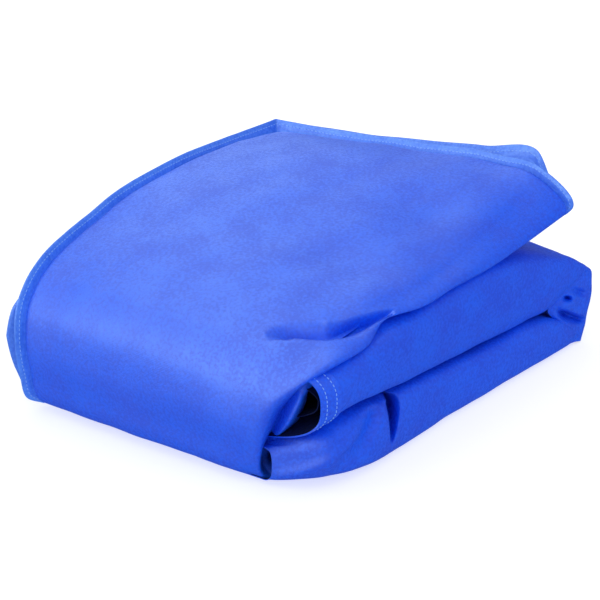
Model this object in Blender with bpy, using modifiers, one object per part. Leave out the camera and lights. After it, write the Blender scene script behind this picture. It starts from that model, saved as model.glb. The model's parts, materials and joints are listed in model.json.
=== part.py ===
"""Fabric chute of a dog agility tunnel, flattened and folded for storage.

The chute is a hemmed sleeve of woven polyester. Folded, it is a stack of three leaves:
the bottom leaf lies on the ground, the end fold turns it back over itself as the middle
leaf, and the wrap turns it round the other end as the top leaf, whose two plies are the
mouth of the sleeve. X runs along the stack from the wrap to the end fold, Y from the
folded front edge to the hemmed back edge, Z up. The origin is under the middle of the stack.
Shapes are given in millimetres and built in metres.
"""

import math

import bmesh
import bpy
import numpy as np
from mathutils import Vector

MM = 0.001
FOOTPRINT_MIDDLE = Vector((1.1, 3.2, 0))  # of the shapes as listed; it becomes the origin

# Cloth, in mm
PLY = 1.5  # one ply with the air that its fine creases hold
HEM_THICKNESS = 2.2  # the cloth turned twice and stitched
SEAM_THICKNESS = 1.2
SEAM_WIDTH = 14
EXIT_HEM_WIDTH = 14
GAP = 0.9  # clearance between pieces that meet
SLIT = 0.012  # the same at a hinge, in stations
CREASE_SLIT = 0.004  # and on each side of the peel crease, in shares of a rib
TIP = 0.02  # least share of the peel crease's run that a part tapers to

# Hinge axes of the three folds that open, in mm
TOP_LEAF_HINGE = (-245, 0, 75.5)  # runs along Y
MIDDLE_LEAF_HINGE = (247, 0, 48)  # runs along Y
MOUTH_FLAP_HINGE = (6, 0, 174)  # runs along the diagonal from the mouth's front corner

# Outer ply: ribs from the front crease to the back hem, at stations from the ground up the wrap
# and along the top to the mouth
OUTER_RIBS = (
    ((-205, -112, 1), (-212, -50, 1), (-214, 20, 1), (-214, 95, 1), (-214, 158, 1)),
    ((-222, -110, 14), (-229, -50, 12), (-231, 20, 12), (-231, 95, 12), (-230, 165, 12)),
    ((-231, -111, 34), (-236, -50, 40), (-238, 20, 40), (-238, 95, 40), (-236, 168, 40)),
    ((-233, -120, 66), (-240, -50, 75), (-242, 20, 76), (-242, 95, 76), (-239, 170, 76)),
    ((-229, -132, 97), (-232, -55, 112), (-235, 20, 115), (-236, 95, 112), (-233, 172, 108)),
    ((-215, -152, 114), (-212, -70, 135), (-215, 15, 138), (-217, 95, 135), (-218, 174, 127)),
    ((-178, -168, 127), (-170, -90, 150), (-172, 5, 155), (-176, 95, 152), (-188, 178, 143)),
    ((-112, -176, 146), (-105, -95, 160), (-105, 5, 167), (-110, 95, 166), (-128, 183, 155)),
    ((-30, -178, 144), (-30, -95, 160), (-30, 5, 170), (-32, 95, 173), (-50, 186, 167)),
    ((77, -178, 142), (75, -90, 158), (72, 5, 170), (68, 98, 174), (50, 188, 168)),
    ((150, -178, 144), (150, -90, 164), (150, 5, 172), (148, 100, 172), (140, 188, 161)),
    ((200, -177, 150), (214, -95, 173), (214, 20, 168), (212, 110, 161), (200, 184, 156)),
)
INNER_START = 0.7  # the inner ply ends above the ground
HINGE_STATION = 3
SHOULDER_STATION = 6  # the wrap meets the top leaf
MOUTH_STATION = 11

# How far the inner ply lies inside the outer one at each station, in X and Z
INNER_INSETS = (
    (9, 3.5), (9, 2), (9, 0), (9, 0), (9, -2), (7, -7),
    (3, -10), (0, -10), (0, -9), (0, -9), (0, -7.5), (0, -7.5),
)
INNER_INSET_SHARES = (0.35, 0.9, 1, 1, 1)  # across a rib; the plies meet at the front crease
INNER_CREASE_SETBACK = 4
INNER_MOUTH_RIB = ((208, -169, 144), (231, -108, 175), (233, -20, 166), (230, 80, 154), (216, 182, 149))

# From the edge of a ply to the free edge of its hem: at each station, then across the mouth
OUTER_HEM_BACK = (
    (-3, 9, 0.3), (-5, 9, 0), (-5, 9, 0), (-5, 9, 0), (-5, 9, 2), (-4, 9, 4),
    (-2, 9, 6), (0, 8.5, 6.5), (0, 8.5, 6.5), (0, 8.5, 6.5), (0, 8.5, 6.5), (8, 8, 6),
)
OUTER_HEM_MOUTH = ((9, -1, 5), (9, 0, 7.5), (9, 0, 7.5), (8.5, 0, 7.5), (8, 8, 6))
INNER_HEM_BACK = (
    (-1, 14, 0.5), (-1, 14, 0), (-7, 18, 2), (-10, 20, 2), (-8, 15, 0), (-2, 10, 0), (0, 9, 1),
    (0, 9, 2), (0, 9, 2), (0, 9, 2), (0, 9, 2), (0, 9, 2), (10, 9, 3),
)
INNER_HEM_MOUTH = ((8, -2, 4), (11, 0, 10), (11, 0, 8), (10, 0, 5), (10, 9, 3))

# Leaves: X of a station, then front Y, back Y, lowest Z, Z of the upper ply by the creases, and
# how much higher it is at its middle
BOTTOM_LEAF = (
    (-203, -120, 166, 3, 70, 0), (-180, -148, 169, 0, 73, 0),
    (-140, -166, 171, 0, 69, 0), (-80, -173, 172, 0, 64, 0),
    (0, -180, 173, 0, 57, 0), (80, -187, 173, 0, 51, 0),
    (160, -192, 171, 0, 47, 0), (219, -190, 164, 0, 45, 0),
)
MIDDLE_LEAF = (
    (-207, -178, 166, 77, 117, 0), (-160, -180, 169, 76, 125, 8),
    (-100, -180, 171, 72, 131, 14), (-30, -180, 172, 64, 133, 16),
    (60, -182, 173, 56, 132, 17), (130, -184, 172, 51, 121, 14),
    (180, -187, 168, 50, 105, 8), (219, -188, 160, 50, 90, 0),
)
LEAF_SQUARENESS = 3.6  # 2 is an ellipse; higher is flatter, with tighter creases
LEAF_FLAT = 0.8  # how deep the flat underside cuts into that rounding

# End fold: ribs from the front to the back, at stations from its top down to the ground
END_FOLD_RIBS = (
    ((224, -180, 89), (224, -100, 92), (224, 0, 92), (224, 90, 90), (224, 152, 86)),
    ((239, -185, 74), (241, -100, 78), (242, 0, 78), (240, 90, 76), (235, 156, 72)),
    ((243, -188, 48), (245, -100, 48), (246, 0, 48), (244, 90, 48), (239, 160, 48)),
    ((238, -190, 18), (241, -100, 18), (242, 0, 18), (240, 90, 18), (235, 160, 18)),
    ((224, -187, 1), (225, -100, 1), (225, 0, 1), (225, 90, 1), (224, 156, 1)),
)
END_FOLD_SPLIT = 2  # station at the hinge of the middle leaf

# Inner folds: the rest of the sleeve, laid to and fro inside a leaf
FOLD_LAYERS = 7
FOLD_CLEARANCE = 8  # from the leaf's top and bottom to the layers
FOLD_END_CLEARANCE = 42  # from the leaf's creases to the turns
FOLD_TURN_STEPS = 3
FOLD_STATIONS = (-186, -90, 20, 120, 208)

CLOTH_BLUE = (0.035, 0.145, 0.78, 1.0)
HEM_BLUE = (0.045, 0.175, 0.82, 1.0)
INNER_BLUE = (0.02, 0.09, 0.6, 1.0)


def clear_scene():
    for item in list(bpy.data.objects):
        bpy.data.objects.remove(item, do_unlink=True)


def new_collection(name):
    collection = bpy.data.collections.new(name)
    bpy.context.scene.collection.children.link(collection)
    return collection


def cloth_material(name, colour, roughness):
    material = bpy.data.materials.new(name)
    material.use_nodes = True
    shader = material.node_tree.nodes["Principled BSDF"]
    shader.inputs["Base Color"].default_value = colour
    shader.inputs["Roughness"].default_value = roughness
    shader.inputs["Metallic"].default_value = 0.0
    return material


def placed(point):
    """A listed point, in mm, as a place in metres from the origin."""
    return (Vector(point) - FOOTPRINT_MIDDLE) * MM


def hinge_empty(name, place, collection):
    empty = bpy.data.objects.new(name, None)
    empty.location = placed(place)
    empty.empty_display_size = 0.04
    collection.objects.link(empty)
    return empty


def sheet(name, grid, thickness, material, hinge, collection):
    """A piece of cloth whose outer face is the grid, a list of rows of points."""
    columns = len(grid[0])
    origin = hinge.location if hinge else Vector()
    skin = bmesh.new()
    corners = [skin.verts.new(placed(point) - origin) for row in grid for point in row]
    for row in range(len(grid) - 1):
        for column in range(columns - 1):
            low = row * columns + column
            high = low + columns
            skin.faces.new((corners[low], corners[high], corners[high + 1], corners[low + 1]))
    mesh = bpy.data.meshes.new(name)
    skin.to_mesh(mesh)
    skin.free()
    mesh.shade_smooth()
    mesh.materials.append(material)
    piece = bpy.data.objects.new(name, mesh)
    piece.parent = hinge
    collection.objects.link(piece)
    solid = piece.modifiers.new("Thickness", "SOLIDIFY")
    solid.thickness = thickness * MM
    solid.offset = -1.0
    return piece


def chord_knots(points):
    """Share of the way along at each point, from the mean distance between rows of points."""
    steps = np.linalg.norm(np.diff(points, axis=0), axis=-1).reshape(len(points) - 1, -1).mean(axis=1)
    return np.concatenate([[0.0], np.cumsum(steps)]) / steps.sum()


def smooth(points, knots, places):
    """The smooth curve through points, or rows of points, read at the given places."""
    slopes = np.gradient(points, knots, axis=0)
    span = np.clip(np.searchsorted(knots, places, side="right") - 1, 0, len(knots) - 2)
    column = (-1,) + (1,) * (points.ndim - 1)
    width = (knots[span + 1] - knots[span]).reshape(column)
    t = (places - knots[span]).reshape(column) / width
    return (
        (1 + 2 * t) * (1 - t) ** 2 * points[span]
        + t * (1 - t) ** 2 * width * slopes[span]
        + t * t * (3 - 2 * t) * points[span + 1]
        + t * t * (t - 1) * width * slopes[span + 1]
    )


def loft(ribs, stations, shares):
    """Rows of points at the given stations, counted in ribs, and shares of the way across a rib."""
    ribs = np.array(ribs, float)
    across = np.array([smooth(rib, chord_knots(rib), np.asarray(shares, float)) for rib in ribs])
    knots = chord_knots(across)
    return smooth(across, knots, np.interp(stations, np.arange(len(ribs)), knots))


def inner_ribs():
    """The outer ply's ribs moved inside it, then the rib of the mouth that shows beyond it."""
    moved = np.array(OUTER_RIBS, float)
    moved[:, :, 0] += np.outer(np.array(INNER_INSETS)[:, 0], INNER_INSET_SHARES)
    moved[:, :, 2] += np.outer(np.array(INNER_INSETS)[:, 1], INNER_INSET_SHARES)
    moved[:, 0, 1] += INNER_CREASE_SETBACK
    return np.concatenate([moved, [INNER_MOUTH_RIB]])


def peel_share(station):
    """Where the diagonal peel crease crosses a rib: from the back at the shoulder to the front crease."""
    return (MOUTH_STATION - station) / (MOUTH_STATION - SHOULDER_STATION)


def hem_rows(edge, offsets):
    """Rows of a hem from just outside the edge of its ply to its own free edge."""
    edge = np.asarray(edge)
    offsets = np.asarray(offsets)
    start = GAP / np.linalg.norm(offsets, axis=1, keepdims=True)
    return np.stack([edge + offsets * start, edge + offsets * (1 + start) / 2, edge + offsets], axis=1)


def back_edge(ribs, stations):
    return loft(ribs, stations, (0.0, 1.0))[:, 1]


def offsets_at(table, places):
    """Hem offsets read from a table, at places counted in its rows."""
    table = np.array(table, float)
    return np.stack([np.interp(places, np.arange(len(table)), table[:, k]) for k in range(3)], axis=1)


def back_hem(ribs, table, stations):
    return hem_rows(back_edge(ribs, stations), offsets_at(table, stations))


def mouth_hem(ribs, back_table, mouth_table, stations):
    """Hem along the back to the corner, then round it and down the mouth to the front corner."""
    along_back = back_hem(ribs, back_table, stations)
    shares = np.linspace(0.94, 0.015, 12)
    edge = loft(ribs, (stations[-1],), shares)[0]
    along_mouth = hem_rows(edge, offsets_at(mouth_table, shares * (len(mouth_table) - 1)))
    return np.concatenate([along_back, along_mouth])


def build_wrap(collection, top_leaf, cloth, hem):
    """Both plies and both hems of the wrap, parted at the hinge of the top leaf."""
    across = np.linspace(0, 1, 9)
    plies = (
        ("outer", OUTER_RIBS, OUTER_HEM_BACK, 0),
        ("inner", inner_ribs(), INNER_HEM_BACK, INNER_START),
    )
    for ply, ribs, hem_table, start in plies:
        parts = (
            ("lower", np.linspace(start, HINGE_STATION - SLIT, 8), None),
            ("upper", np.linspace(HINGE_STATION + SLIT, SHOULDER_STATION - SLIT, 8), top_leaf),
        )
        for part, stations, hinge in parts:
            sheet(f"wrap_{ply}_{part}", loft(ribs, stations, across), PLY, cloth, hinge, collection)
            rows = back_hem(ribs, hem_table, stations)
            sheet(f"wrap_hem_{ply}_{part}", rows, HEM_THICKNESS, hem, hinge, collection)


def outer_rows(stations, first_share, last_share):
    """Rows of the outer ply, each between the shares of a rib that two functions give at a station."""
    rows = []
    for station in stations:
        shares = np.linspace(first_share(station), last_share(station), 7)
        rows.append(loft(OUTER_RIBS, (station,), shares)[0])
    return rows


def build_top_leaf(collection, top_leaf, mouth_flap, cloth, hem):
    """The outer ply in two parts along the peel crease, the second ply under it, and their hems."""
    tip = TIP * (MOUTH_STATION - SHOULDER_STATION)
    stations = np.linspace(SHOULDER_STATION + SLIT, MOUTH_STATION - tip, 12)
    rows = outer_rows(stations, lambda station: 0, lambda station: peel_share(station) - CREASE_SLIT)
    sheet("top_leaf_front_panel", rows, PLY, cloth, top_leaf, collection)
    stations = np.linspace(SHOULDER_STATION + tip, MOUTH_STATION, 12)
    rows = outer_rows(stations, lambda station: peel_share(station) + 3 * CREASE_SLIT, lambda station: 1)
    sheet("mouth_flap_panel", rows, PLY, cloth, mouth_flap, collection)
    rows = mouth_hem(OUTER_RIBS, OUTER_HEM_BACK, OUTER_HEM_MOUTH, stations)
    sheet("mouth_flap_hem", rows, HEM_THICKNESS, hem, mouth_flap, collection)

    ribs = inner_ribs()
    stations = np.linspace(SHOULDER_STATION + SLIT, MOUTH_STATION + 1, 13)
    sheet("second_ply", loft(ribs, stations, np.linspace(0, 1, 9)), PLY, cloth, top_leaf, collection)
    rows = mouth_hem(ribs, INNER_HEM_BACK, INNER_HEM_MOUTH, stations)
    sheet("second_ply_hem", rows, HEM_THICKNESS, hem, top_leaf, collection)


def leaf_section(leaf, x):
    """Front, back, low, high and crown of a leaf at X, read between its stations."""
    table = np.array(leaf, float)
    return [float(np.interp(x, table[:, 0], table[:, k])) for k in range(1, 6)]


def leaf_ring(leaf, x, start, end):
    """Points round part of a leaf's section, from one angle to another; the front crease is at 0."""
    front, back, low, high, crown = leaf_section(leaf, x)
    low -= LEAF_FLAT
    ring = []
    for angle in np.linspace(start, end, 17):
        c = math.cos(angle)
        s = math.sin(angle)
        across = math.copysign(abs(c) ** (2 / LEAF_SQUARENESS), c)
        up = math.copysign(abs(s) ** (2 / LEAF_SQUARENESS), s)
        y = (front + back) / 2 - (back - front) / 2 * across
        z = (low + high) / 2 + (high - low) / 2 * up + crown * max(up, 0) * (1 - across**2)
        ring.append((x, y, max(z, low + LEAF_FLAT)))
    return ring


def leaf_plies(name, leaf, places, thickness, material, hinge, collection):
    """The upper and lower ply of a leaf, which meet at its front and back creases."""
    gap = 0.01  # at the creases, as an angle
    halves = (("upper", gap, math.pi - gap), ("lower", math.pi + gap, 2 * math.pi - gap))
    for ply, start, end in halves:
        rows = [leaf_ring(leaf, x, start, end) for x in places]
        sheet(f"{name}_{ply}", rows, thickness, material, hinge, collection)


def zigzag(leaf, x):
    """Points of the cloth laid to and fro inside a leaf's section, from its floor to its top."""
    front, back, low, high, _crown = leaf_section(leaf, x)
    near = front + FOLD_END_CLEARANCE
    far = back - FOLD_END_CLEARANCE
    pitch = (high - low - 2 * FOLD_CLEARANCE) / (FOLD_LAYERS - 1)
    points = []
    for layer in range(FOLD_LAYERS):
        z = low + FOLD_CLEARANCE + layer * pitch
        side = 1 if layer % 2 == 0 else -1
        start, end = (near, far) if side == 1 else (far, near)
        points += [(x, start, z), (x, (near + far) / 2, z), (x, end, z)]
        if layer < FOLD_LAYERS - 1:
            for step in range(1, FOLD_TURN_STEPS):
                angle = math.pi * step / FOLD_TURN_STEPS
                bulge = side * pitch / 2 * math.sin(angle)
                points.append((x, end + bulge, z + pitch / 2 * (1 - math.cos(angle))))
    return points


def side_seam(leaf, places):
    """Rows of the flat-felled seam that closes the sleeve, on the back crease of a leaf."""
    rows = []
    for x in places:
        _front, back, low, high, _crown = leaf_section(leaf, x)
        middle = (low + high) / 2
        outer = back + SEAM_THICKNESS + GAP
        rows.append([(x, outer, middle + SEAM_WIDTH * side) for side in (0.5, 0, -0.5)])
    return rows


def build_leaf(name, leaf, first, hinge, collection, cloth, inner, seam):
    """Outer plies, side seam and inner folds of a leaf, from X = first to its last station."""
    places = [first] + [station[0] for station in leaf[1:]]
    leaf_plies(name, leaf, places, PLY, cloth, hinge, collection)
    sheet(f"{name}_side_seam", side_seam(leaf, places), SEAM_THICKNESS, seam, hinge, collection)
    rows = [zigzag(leaf, x) for x in FOLD_STATIONS]
    sheet(f"{name}_inner_folds", rows, PLY, inner, hinge, collection)


def build_end_fold(collection, middle_leaf, cloth):
    """The cloth that turns round the right end, parted at the hinge of the middle leaf."""
    across = np.linspace(0, 1, 9)
    upper = np.linspace(0, END_FOLD_SPLIT - SLIT, 6)
    lower = np.linspace(END_FOLD_SPLIT + SLIT, len(END_FOLD_RIBS) - 1, 6)
    sheet("end_fold_upper", loft(END_FOLD_RIBS, upper, across), PLY, cloth, middle_leaf, collection)
    sheet("end_fold_lower", loft(END_FOLD_RIBS, lower, across), PLY, cloth, None, collection)


def main():
    clear_scene()
    collection = new_collection("agility_tunnel_chute")
    cloth = cloth_material("woven_polyester", CLOTH_BLUE, 0.62)
    hem = cloth_material("hem_polyester", HEM_BLUE, 0.6)
    inner = cloth_material("inner_polyester", INNER_BLUE, 0.65)
    top_leaf = hinge_empty("top_leaf_hinge", TOP_LEAF_HINGE, collection)
    mouth_flap = hinge_empty("mouth_flap_hinge", MOUTH_FLAP_HINGE, collection)
    middle_leaf = hinge_empty("middle_leaf_hinge", MIDDLE_LEAF_HINGE, collection)

    build_leaf("bottom_leaf", BOTTOM_LEAF, BOTTOM_LEAF[0][0], None, collection, cloth, inner, hem)
    exit_edge = MIDDLE_LEAF[0][0]
    inside_hem = exit_edge + EXIT_HEM_WIDTH
    build_leaf("middle_leaf", MIDDLE_LEAF, inside_hem + GAP, middle_leaf, collection, cloth, inner, hem)
    leaf_plies("exit_hem", MIDDLE_LEAF, (exit_edge, inside_hem), HEM_THICKNESS, hem, middle_leaf, collection)
    build_end_fold(collection, middle_leaf, cloth)
    build_wrap(collection, top_leaf, cloth, hem)
    build_top_leaf(collection, top_leaf, mouth_flap, cloth, hem)


main()
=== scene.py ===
import json
import math

import bmesh
import bpy
import numpy as np
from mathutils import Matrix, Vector


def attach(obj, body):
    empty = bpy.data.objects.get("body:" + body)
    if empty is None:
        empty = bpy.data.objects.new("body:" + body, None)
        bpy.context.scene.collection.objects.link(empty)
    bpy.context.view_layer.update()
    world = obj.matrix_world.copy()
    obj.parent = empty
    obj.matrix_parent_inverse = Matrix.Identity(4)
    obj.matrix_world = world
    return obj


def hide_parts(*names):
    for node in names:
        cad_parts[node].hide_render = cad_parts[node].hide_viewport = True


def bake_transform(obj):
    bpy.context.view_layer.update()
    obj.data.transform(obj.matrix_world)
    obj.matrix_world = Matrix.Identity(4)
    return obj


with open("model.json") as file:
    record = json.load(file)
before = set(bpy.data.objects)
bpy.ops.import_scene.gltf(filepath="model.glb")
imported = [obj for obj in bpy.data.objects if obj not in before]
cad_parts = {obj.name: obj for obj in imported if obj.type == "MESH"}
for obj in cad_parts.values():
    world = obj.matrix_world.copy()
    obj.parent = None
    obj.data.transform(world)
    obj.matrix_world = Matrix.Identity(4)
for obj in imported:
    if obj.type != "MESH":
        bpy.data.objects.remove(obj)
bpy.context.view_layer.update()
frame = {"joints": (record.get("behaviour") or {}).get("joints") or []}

# Shapes are given in millimetres, in the frame of the CAD's own tables, and built in metres.
MM = 0.001
FOOTPRINT_MIDDLE = np.array([1.1, 3.2, 0.0])

# Cloth, in mm
CLOTH = 0.8
HEM_THICKNESS = 2.0
EDGE_DROP = 7.5  # how far a ply dips to the foot of its hem
EDGE_ROLL = 7.5  # over this distance
STITCH_SHARE = 0.66  # of the way from the foot of a hem to its free edge
STITCH_PITCH = 4.4
STITCH_LENGTH = 3.1
THREAD_RADIUS = 0.45
FIRST_STITCH = 1.0  # from the start of a hem
HEM_CLEARANCE = 0.3  # between a hem's foot and the ply it is sewn to
HEM_PROFILE_STEP = 1.3  # between points round a hem's section, for its weave

# Unevenness of each ply: height and length of its waves, and the seed they are drawn with
OUTER_RIPPLES = ((0.45, 80, 3), (0.05, 22, 4))
SECOND_RIPPLES = ((0.3, 70, 5),)
LEAF_RIPPLES = ((0.35, 60, 7), (0.06, 22, 8))
END_FOLD_RIPPLES = ((0.3, 50, 9),)
WAVES = 7  # in each ripple
WAVES_HEIGHT = 2.6  # of the waves' sum

# Ribs of the outer ply. Each runs from its tucked-in front end, round the fold edge and across
# to the foot of the back hem; the ribs follow the wrap up from the ground, then the top leaf.
OUTER_RIBS = (
    ((-200, -124, 6), (-205, -119, 5), (-210, -112, 5), (-217, -108, 4), (-214, -95, 1.5),
     (-213, -50, 1), (-214, 20, 1), (-214, 95, 1), (-214, 158, 1)),
    ((-192, -98, 13), (-204, -101, 14), (-208, -99, 12), (-226, -107.5, 17), (-229, -95, 14),
     (-230, -50, 12), (-231, 20, 12), (-231, 95, 12), (-230, 165, 12)),
    ((-186, -103, 32), (-204, -107, 34), (-208, -100, 28), (-232, -111, 41), (-236, -98, 40),
     (-237, -50, 40), (-238, 20, 40), (-238, 95, 40), (-236, 168, 40)),
    ((-192, -127, 60), (-215, -133, 68), (-206, -111, 56), (-234, -118, 67), (-239, -103, 72),
     (-241, -50, 76), (-242, 20, 76), (-242, 95, 76), (-239, 170, 76)),
    ((-192, -137, 83), (-214, -145, 93), (-207, -124, 82), (-231, -130, 94), (-232, -110, 104),
     (-233, -55, 112), (-235, 20, 115), (-236, 95, 112), (-233, 172, 108)),
    ((-193, -142, 99), (-209, -147, 104), (-210, -144, 107), (-217, -150, 114), (-215, -128, 124),
     (-212, -70, 135), (-215, 15, 138), (-217, 95, 135), (-218, 174, 127)),
    ((-159, -148, 114), (-176, -159, 121), (-185, -165, 125), (-190, -167, 128), (-183, -140, 138),
     (-170, -90, 150), (-172, 5, 155), (-176, 95, 152), (-188, 178, 143)),
    ((-112, -154, 120), (-128, -164, 126), (-137, -170, 130), (-142, -172, 132), (-134, -147, 146),
     (-120, -95, 157), (-120, 5, 165), (-125, 95, 163), (-142, 182, 153)),
    ((-77, -151, 132), (-90, -158, 137), (-99, -164, 140), (-103, -166, 142), (-95, -150, 152),
     (-85, -95, 160), (-83, 5, 168), (-86, 95, 168), (-103, 185, 158)),
    ((-39, -159, 134), (-51, -169, 137), (-60, -175, 140), (-64, -177, 142), (-60, -157, 152),
     (-58, -95, 160), (-58, 5, 169.5), (-60, 95, 171.5), (-76, 186, 163)),
    ((0, -152, 130), (0, -165, 134), (1, -174, 138), (2, -178.5, 142.5), (2, -158, 152),
     (2, -92, 165), (2, 5, 174), (0, 95, 176), (-20, 187, 168)),
    ((77, -150, 128), (77, -162, 131), (77, -173, 135), (77, -178.5, 140), (76, -150, 157),
     (75, -90, 167), (72, 5, 177), (68, 98, 178), (50, 188, 168)),
    ((150, -150, 131), (150, -162, 134), (150, -173, 138), (150, -178.5, 143), (152, -145, 166),
     (151, -90, 176), (150, 5, 178), (148, 100, 175), (140, 188, 161)),
    ((203, -156, 136), (203, -164, 139), (203, -173, 143), (203, -179, 148), (208, -137, 181),
     (214, -92, 178), (214, 9, 168), (212, 104, 158), (201, 185, 156)),
)
VALLEY_COLUMN = 2  # of the crease inside the fold, in each rib
EDGE_COLUMN = 3  # of the fold edge
MOUTH_STATION = 13
HEM_SPLIT_STATION = 6.1  # where the wrap's hem ends and the mouth flap's begins

# How far the second ply lies inside the outer one at each station, in X and Z
SECOND_INSETS = (
    (9, 3.5), (9, 2), (9, 0), (9, 0), (9, -2), (7, -7), (3, -10),
    (1, -10), (0, -10), (0, -9), (0, -9), (0, -9), (0, -7.5), (0, -7.5),
)
SECOND_START = 0.7  # the station where the second ply starts
SECOND_MOUTH_RIB = (
    (230, -136, 156), (234, -117, 175), (234, -50, 167), (232, 80, 152), (216, 182, 149),
)

# From a ply's edge to its hem's free edge: at each station, and across the mouth from the front
OUTER_HEM_BACK = (
    (-3, 7, 0.3), (-4, 6.5, 0), (-4, 6.5, 0), (-4, 6.5, 0), (-4, 6.5, 1), (-3, 6.5, 3), (-1.5, 6.5, 4),
    (-1, 6.5, 4), (0, 6.5, 4), (0, 6.5, 4), (0, 6.5, 4), (0, 6.5, 4), (0, 6.5, 4), (6.5, 7, 5),
)
OUTER_HEM_MOUTH = ((4, -1, -2), (5, -1, 3), (5.5, 0, 4), (6, 0, 5), (6, 0, 5), (6.5, 7, 5))
SECOND_HEM_BACK = (
    (-1, 14, 0.5), (-1, 14, 0), (-7, 18, 2), (-10, 20, 2), (-8, 15, 0), (-2, 10, 0), (0, 9, 1),
    (0, 9, 2), (0, 9, 2), (0, 9, 2), (0, 9, 2), (0, 9, 2), (0, 9, 2), (0, 9, 2), (10, 9, 3),
)
SECOND_HEM_MOUTH = ((10, 2, 8), (11, 0, 10), (11, 0, 9), (10, 0, 5), (10, 9, 3))

# Creases and dents, as rows of X, Y, Z, depth and half width; a sixth value is the half width on
# the far side. A negative depth is a ridge.
PINCH = (
    (-195, -94, 137, 0, 7, 6), (-186, -103, 140, 7, 8, 4.5), (-178, -117, 142, 14, 9, 4),
    (-169, -132, 143, 15, 9, 4.5), (-158, -142, 144, 11, 7, 6), (-143, -147, 145, 15, 4, 8),
    (-126, -152, 146, 17, 3, 7), (-110, -158, 147, 13, 2.5, 5), (-94, -164, 146, 6, 2, 3),
)
PINCH_FAR_SIDE = (0.3, -0.5, -0.8)
DENT_RIDGE = ((-160, -142, 146, -2, 3), (-151, -133, 150, -2.5, 3))
APEX_DIP = (
    (140, 184, 163, 1, 6), (180, 184, 160, 5, 7), (200, 174, 158, 7, 7),
    (206, 150, 158, 6, 7), (209, 120, 158, 3, 6), (211, 80, 160, 1, 5),
)
GATHERS = (  # start and end of each
    ((204, 184, 157), (188, 172, 161)),
    ((207, 177, 157), (191, 163, 161)),
    ((209, 168, 157), (194, 154, 161)),
    ((210, 158, 157), (196, 144, 161)),
)
GATHER_START = (4.5, 2.2)  # depth and half width
GATHER_END = (0.3, 2.6)
PLEAT = (
    (-113, -180, 80, 55, 4, 13), (-112, -181, 64, 55, 4, 11), (-111, -181, 47, 44, 3.5, 8),
    (-111, -181, 31, 24, 3, 5), (-112, -181, 19, 2, 2, 3),
)
SOFT_FOLD = (
    (-130, -180, 66, 7, 7), (-142, -179, 52, 12, 10), (-160, -177, 38, 12, 12), (-182, -174, 25, 5, 11),
)
UNDER_RIDGE = (
    (-120, -182, 68, -2, 5), (-140, -181, 60, -4, 6), (-164, -178, 47, -4, 6),
    (-205, -160, 28, -4, 7), (-214, -118, 10, -3, 7),
)
NOTCH = ((-70, -181, 68, 12, 4), (-54, -181, 66, 10, 3))
BOTTOM_LEAF_CREASES = (SOFT_FOLD, UNDER_RIDGE, NOTCH, PLEAT)
PLEAT_WAY = (-0.72, -0.66, 0.2)  # out of these creases
PLEAT_FAR_SIDE = (1, 0, 0)

# Leaves: X of a station, then front Y, back Y, lowest Z, Z of the upper ply by the creases, how much
# higher it is at its middle, how far the lower ply sags there, and how flat the plies are
BOTTOM_LEAF = (
    (-222, -120, -84, 5, 42, 0, 0, 4),
    (-218, -129, 0, 2, 51, -20, 0, 4),
    (-212, -145, 90, 0, 59, -38, 0, 4),
    (-203, -162, 150, 0, 66, -38, 0, 4.5),
    (-180, -175, 169, 0, 71, -18, 0, 8),
    (-140, -180, 171, 0, 68, -4, 0, 20),
    (-80, -181, 172, 0, 63, 0, 0, 40),
    (0, -182, 173, 0, 56, 0, 0, 40),
    (80, -187, 173, 0, 51, 0, 0, 40),
    (150, -191, 171, 0, 48, 0, 0, 40),
    (172, -192, 169, 0, 42, 0, 0, 40),
    (196, -192, 167, 0, 31, 0, 0, 40),
    (214, -190, 160, 0, 22, 0, 0, 40),
)
MIDDLE_LEAF = (
    (-211, -169, 164, 62, 124, 0, 26, 9),
    (-196, -177, 166, 70, 125, 2, 26, 10),
    (-180, -180, 167, 74, 126, 4, 14, 12),
    (-160, -181, 169, 75, 127, 8, 4, 18),
    (-100, -181, 171, 70, 131, 14, 0, 40),
    (-30, -180, 172, 62, 133, 16, 0, 40),
    (60, -182, 173, 55, 132, 17, 0, 40),
    (130, -184, 172, 50.5, 121, 14, 0, 40),
    (165, -187, 170, 50, 110, 10, 0, 40),
    (190, -188, 168, 58, 102, 7, 0, 40),
    (210, -189, 164, 66, 96, 3, 0, 40),
    (229, -189, 158, 71, 83, 0, 0, 40),
)
LEAF_ROUNDNESS = 2.8
LEAF_COLUMNS = 230  # of mesh, round a leaf
FRONT_REACH = 60  # from the front crease, over which the columns are closer
FRONT_DENSITY = 3.5  # this many times

# Side seams, along the leaves' back creases
SEAM_START = -190
SEAM_END = 214
SEAM_WIDTH = 10
SEAM_CLEARANCE = 1.2  # from the crease

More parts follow.
